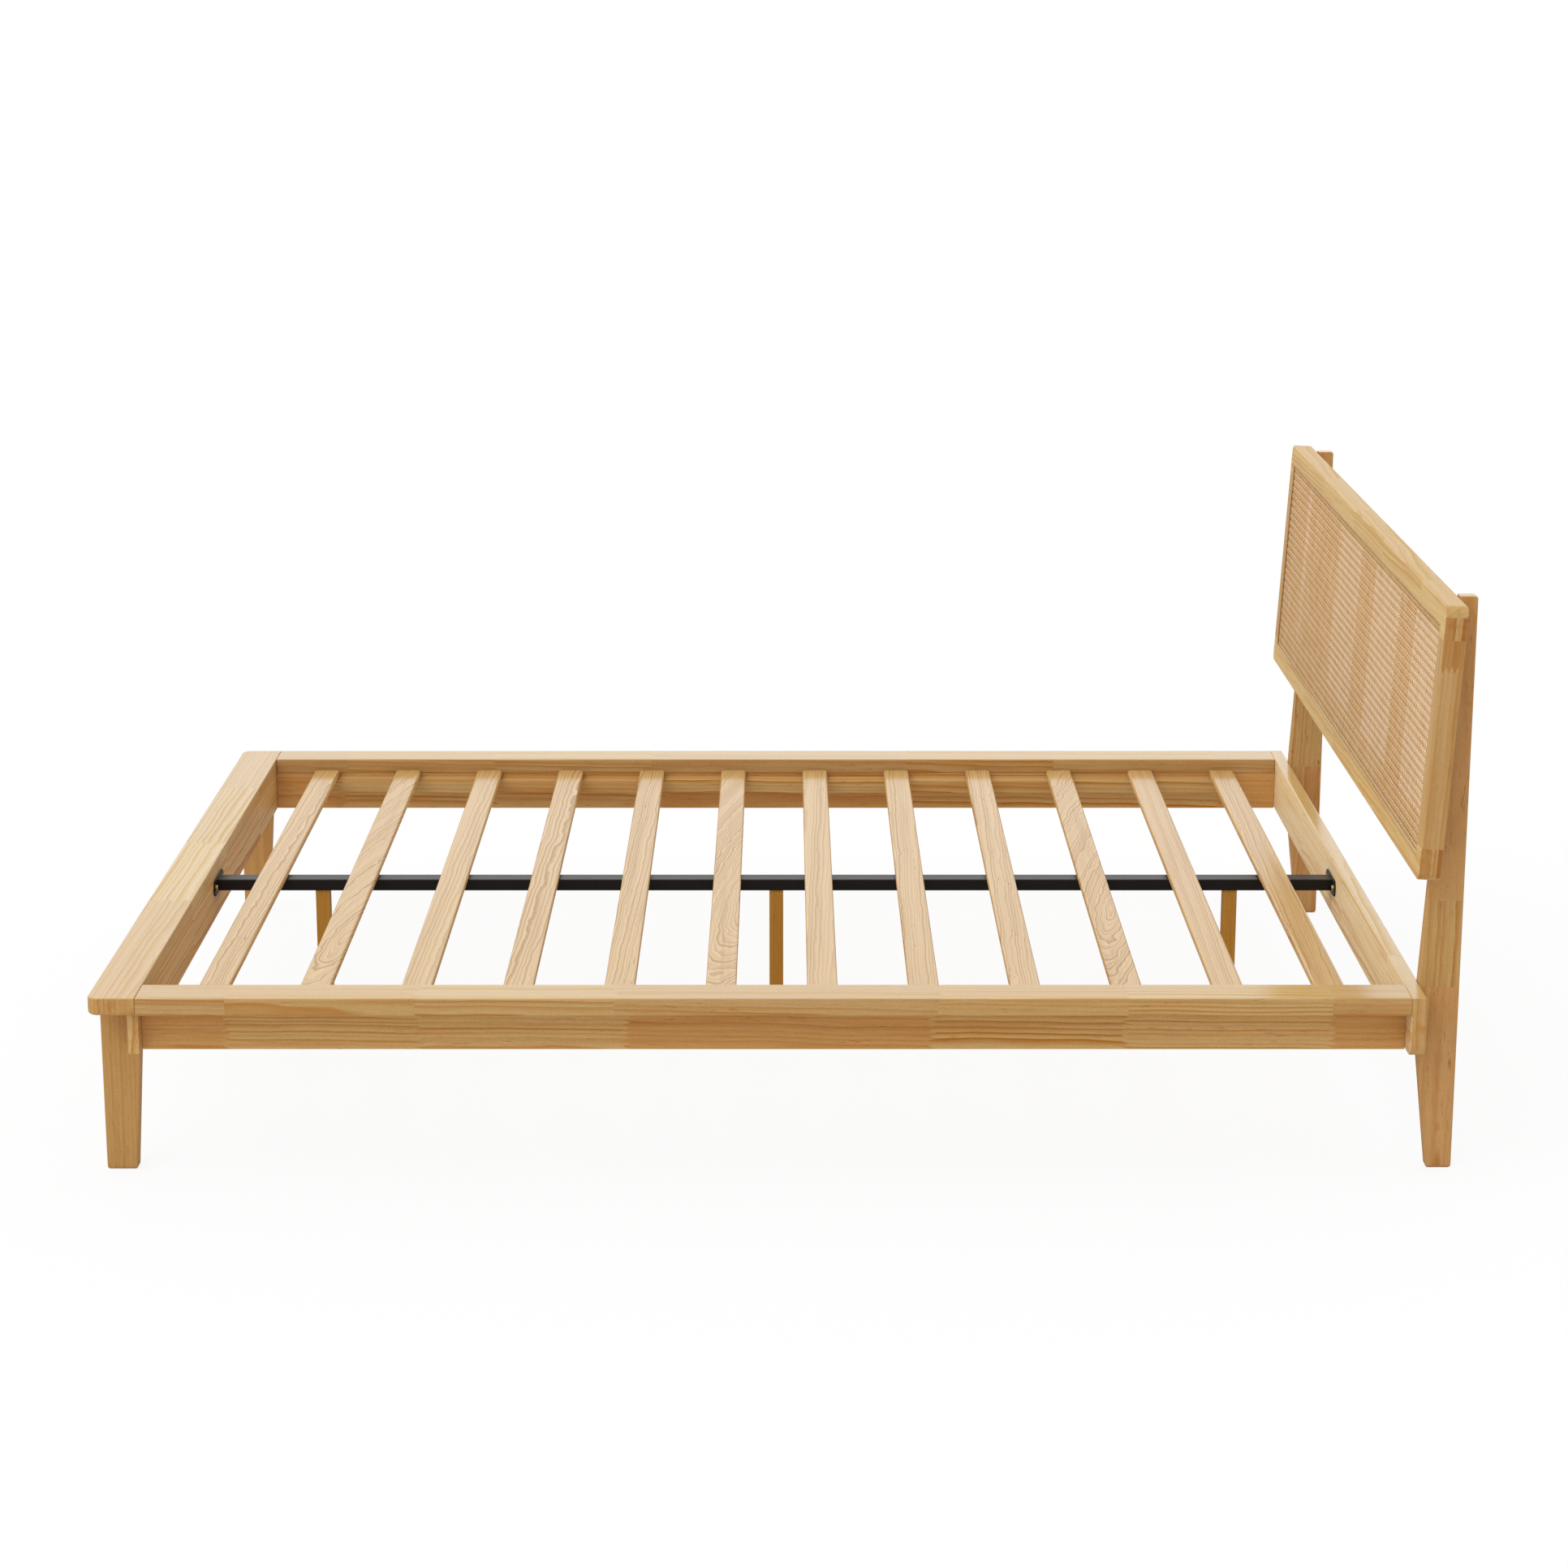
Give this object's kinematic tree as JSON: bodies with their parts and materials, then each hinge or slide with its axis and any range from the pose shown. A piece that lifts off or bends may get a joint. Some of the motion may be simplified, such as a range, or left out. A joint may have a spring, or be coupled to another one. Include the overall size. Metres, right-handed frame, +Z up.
{
  "type": "platform bed frame",
  "caption": "Low pine platform bed with overhanging rail caps, slats on a steel centre beam, and a leaning framed cane headboard on tapered posts.",
  "frame": {"origin": "on the floor, under the middle of the bed's overall box", "axes": "+X from the foot to the head, +Y to the left seen from the foot, +Z up"},
  "size_m": [2.212, 1.688, 0.9564],
  "materials": {
    "rail_pine": "clear satin varnish on finger-jointed pine staves",
    "slat_pine": "planed, lightly sealed pine",
    "headboard_pine": "clear satin varnish on yellowish pine",
    "batten_pine": "planed pine",
    "cane": "natural peeled cane, octagonal traditional weave",
    "bead": "pale half-round bead",
    "centre_leg_ochre": "flat ochre stain",
    "beam_black": "satin black powder coat",
    "brass_screw": "brass coloured plating",
    "zinc_steel": "zinc plated",
    "dowel_beech": "plain turned beech",
    "leveller_black": "moulded black plastic"
  },
  "bodies": {
    "bed_frame": {"barrel_nuts": "zinc_steel", "beam_flange_foot": "beam_black", "beam_flange_head": "beam_black", "beam_screws": "brass_screw", "cane_bead_bottom": "bead", "cane_bead_left": "bead", "cane_bead_right": "bead", "cane_bead_top": "bead", "cane_panel": "cane", "centre_beam": "beam_black", "centre_leg_foot": "centre_leg_ochre", "centre_leg_head": "centre_leg_ochre", "centre_leg_middle": "centre_leg_ochre", "foot_apron": "rail_pine", "foot_cap": "rail_pine", "foot_dowels": "dowel_beech", "foot_leg_left": "rail_pine", "foot_leg_right": "rail_pine", "head_post_left": "rail_pine", "head_post_right": "rail_pine", "head_rail": "rail_pine", "head_rail_bolts": "zinc_steel", "headboard_batten_1": "batten_pine", "headboard_batten_2": "batten_pine", "headboard_batten_3": "batten_pine", "headboard_bolts": "zinc_steel", "headboard_bottom_rail": "headboard_pine", "headboard_dowels": "dowel_beech", "headboard_stile_left": "headboard_pine", "headboard_stile_right": "headboard_pine", "headboard_top_rail": "headboard_pine", "ledger_dowels": "dowel_beech", "leg_nuts": "zinc_steel", "leg_studs": "zinc_steel", "rail_bolts": "zinc_steel", "rail_dowels": "dowel_beech", "side_rail_board_left": "rail_pine", "side_rail_board_right": "rail_pine", "side_rail_cap_left": "rail_pine", "side_rail_cap_right": "rail_pine", "slat_01": "slat_pine", "slat_02": "slat_pine", "slat_03": "slat_pine", "slat_04": "slat_pine", "slat_05": "slat_pine", "slat_06": "slat_pine", "slat_07": "slat_pine", "slat_08": "slat_pine", "slat_09": "slat_pine", "slat_10": "slat_pine", "slat_11": "slat_pine", "slat_12": "slat_pine", "slat_ledger_left": "rail_pine", "slat_ledger_right": "rail_pine", "slat_screws": "zinc_steel", "threaded_inserts": "zinc_steel"},
    "foot_levelling_foot": {"leveller_foot": "leveller_black"},
    "middle_levelling_foot": {"leveller_middle": "leveller_black"},
    "head_levelling_foot": {"leveller_head": "leveller_black"}
  },
  "joints": [
    {"name": "foot_level", "type": "slide", "parent": "bed_frame", "child": "foot_levelling_foot", "axis": [0, 0, 1], "range_m": [0, 0.012]},
    {"name": "middle_level", "type": "slide", "parent": "bed_frame", "child": "middle_levelling_foot", "axis": [0, 0, 1], "range_m": [0, 0.012]},
    {"name": "head_level", "type": "slide", "parent": "bed_frame", "child": "head_levelling_foot", "axis": [0, 0, 1], "range_m": [0, 0.012]}
  ]
}
